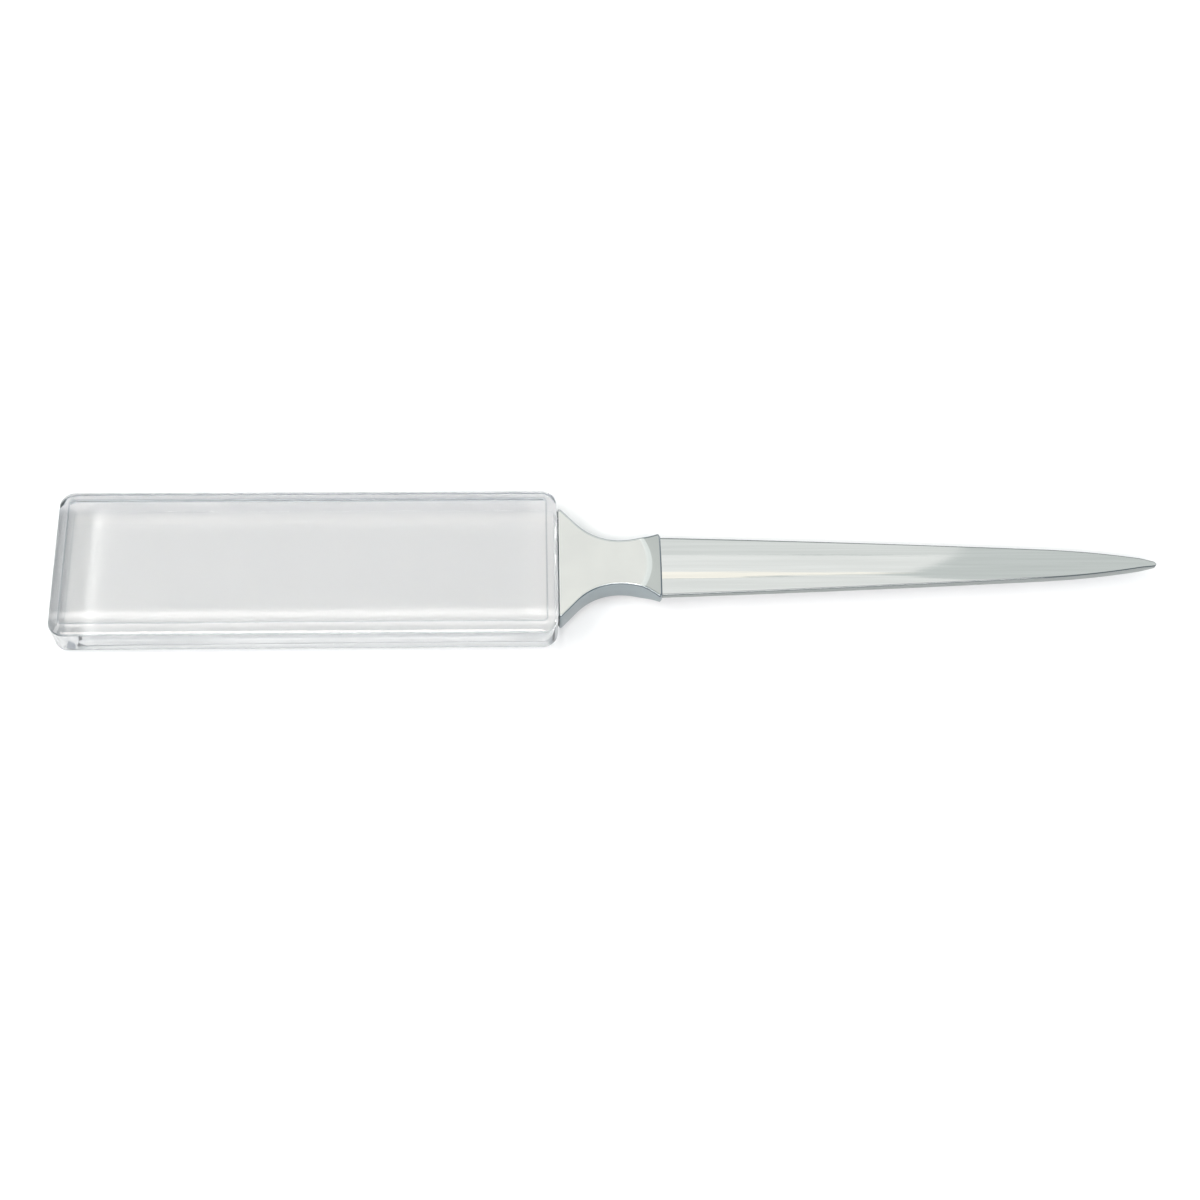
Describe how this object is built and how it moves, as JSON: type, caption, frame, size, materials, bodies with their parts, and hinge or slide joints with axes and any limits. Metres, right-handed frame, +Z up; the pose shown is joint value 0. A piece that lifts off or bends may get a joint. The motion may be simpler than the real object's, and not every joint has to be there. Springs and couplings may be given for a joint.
{
  "type": "letter opener",
  "caption": "Letter opener with a bevelled clear crystal handle, a waisted plated metal neck and a long domed tapering blade with a blunt rounded point.",
  "frame": {"origin": "middle of the whole opener's length and width, on the surface that the handle lies on", "axes": "+X along the blade towards its tip, +Z up from the surface, Y across"},
  "size_m": [0.22, 0.0316, 0.009],
  "materials": {
    "crystal": "clear polished optical crystal",
    "clear_adhesive": "clear cured adhesive",
    "satin_plate": "bright satin plating on a casting",
    "polished_steel": "polished steel, drawn lengthwise"
  },
  "bodies": {
    "root": {"crystal_handle": "crystal", "handle_bond": "clear_adhesive", "neck": "satin_plate", "tang_bond": "clear_adhesive", "blade": "polished_steel"}
  },
  "joints": []
}
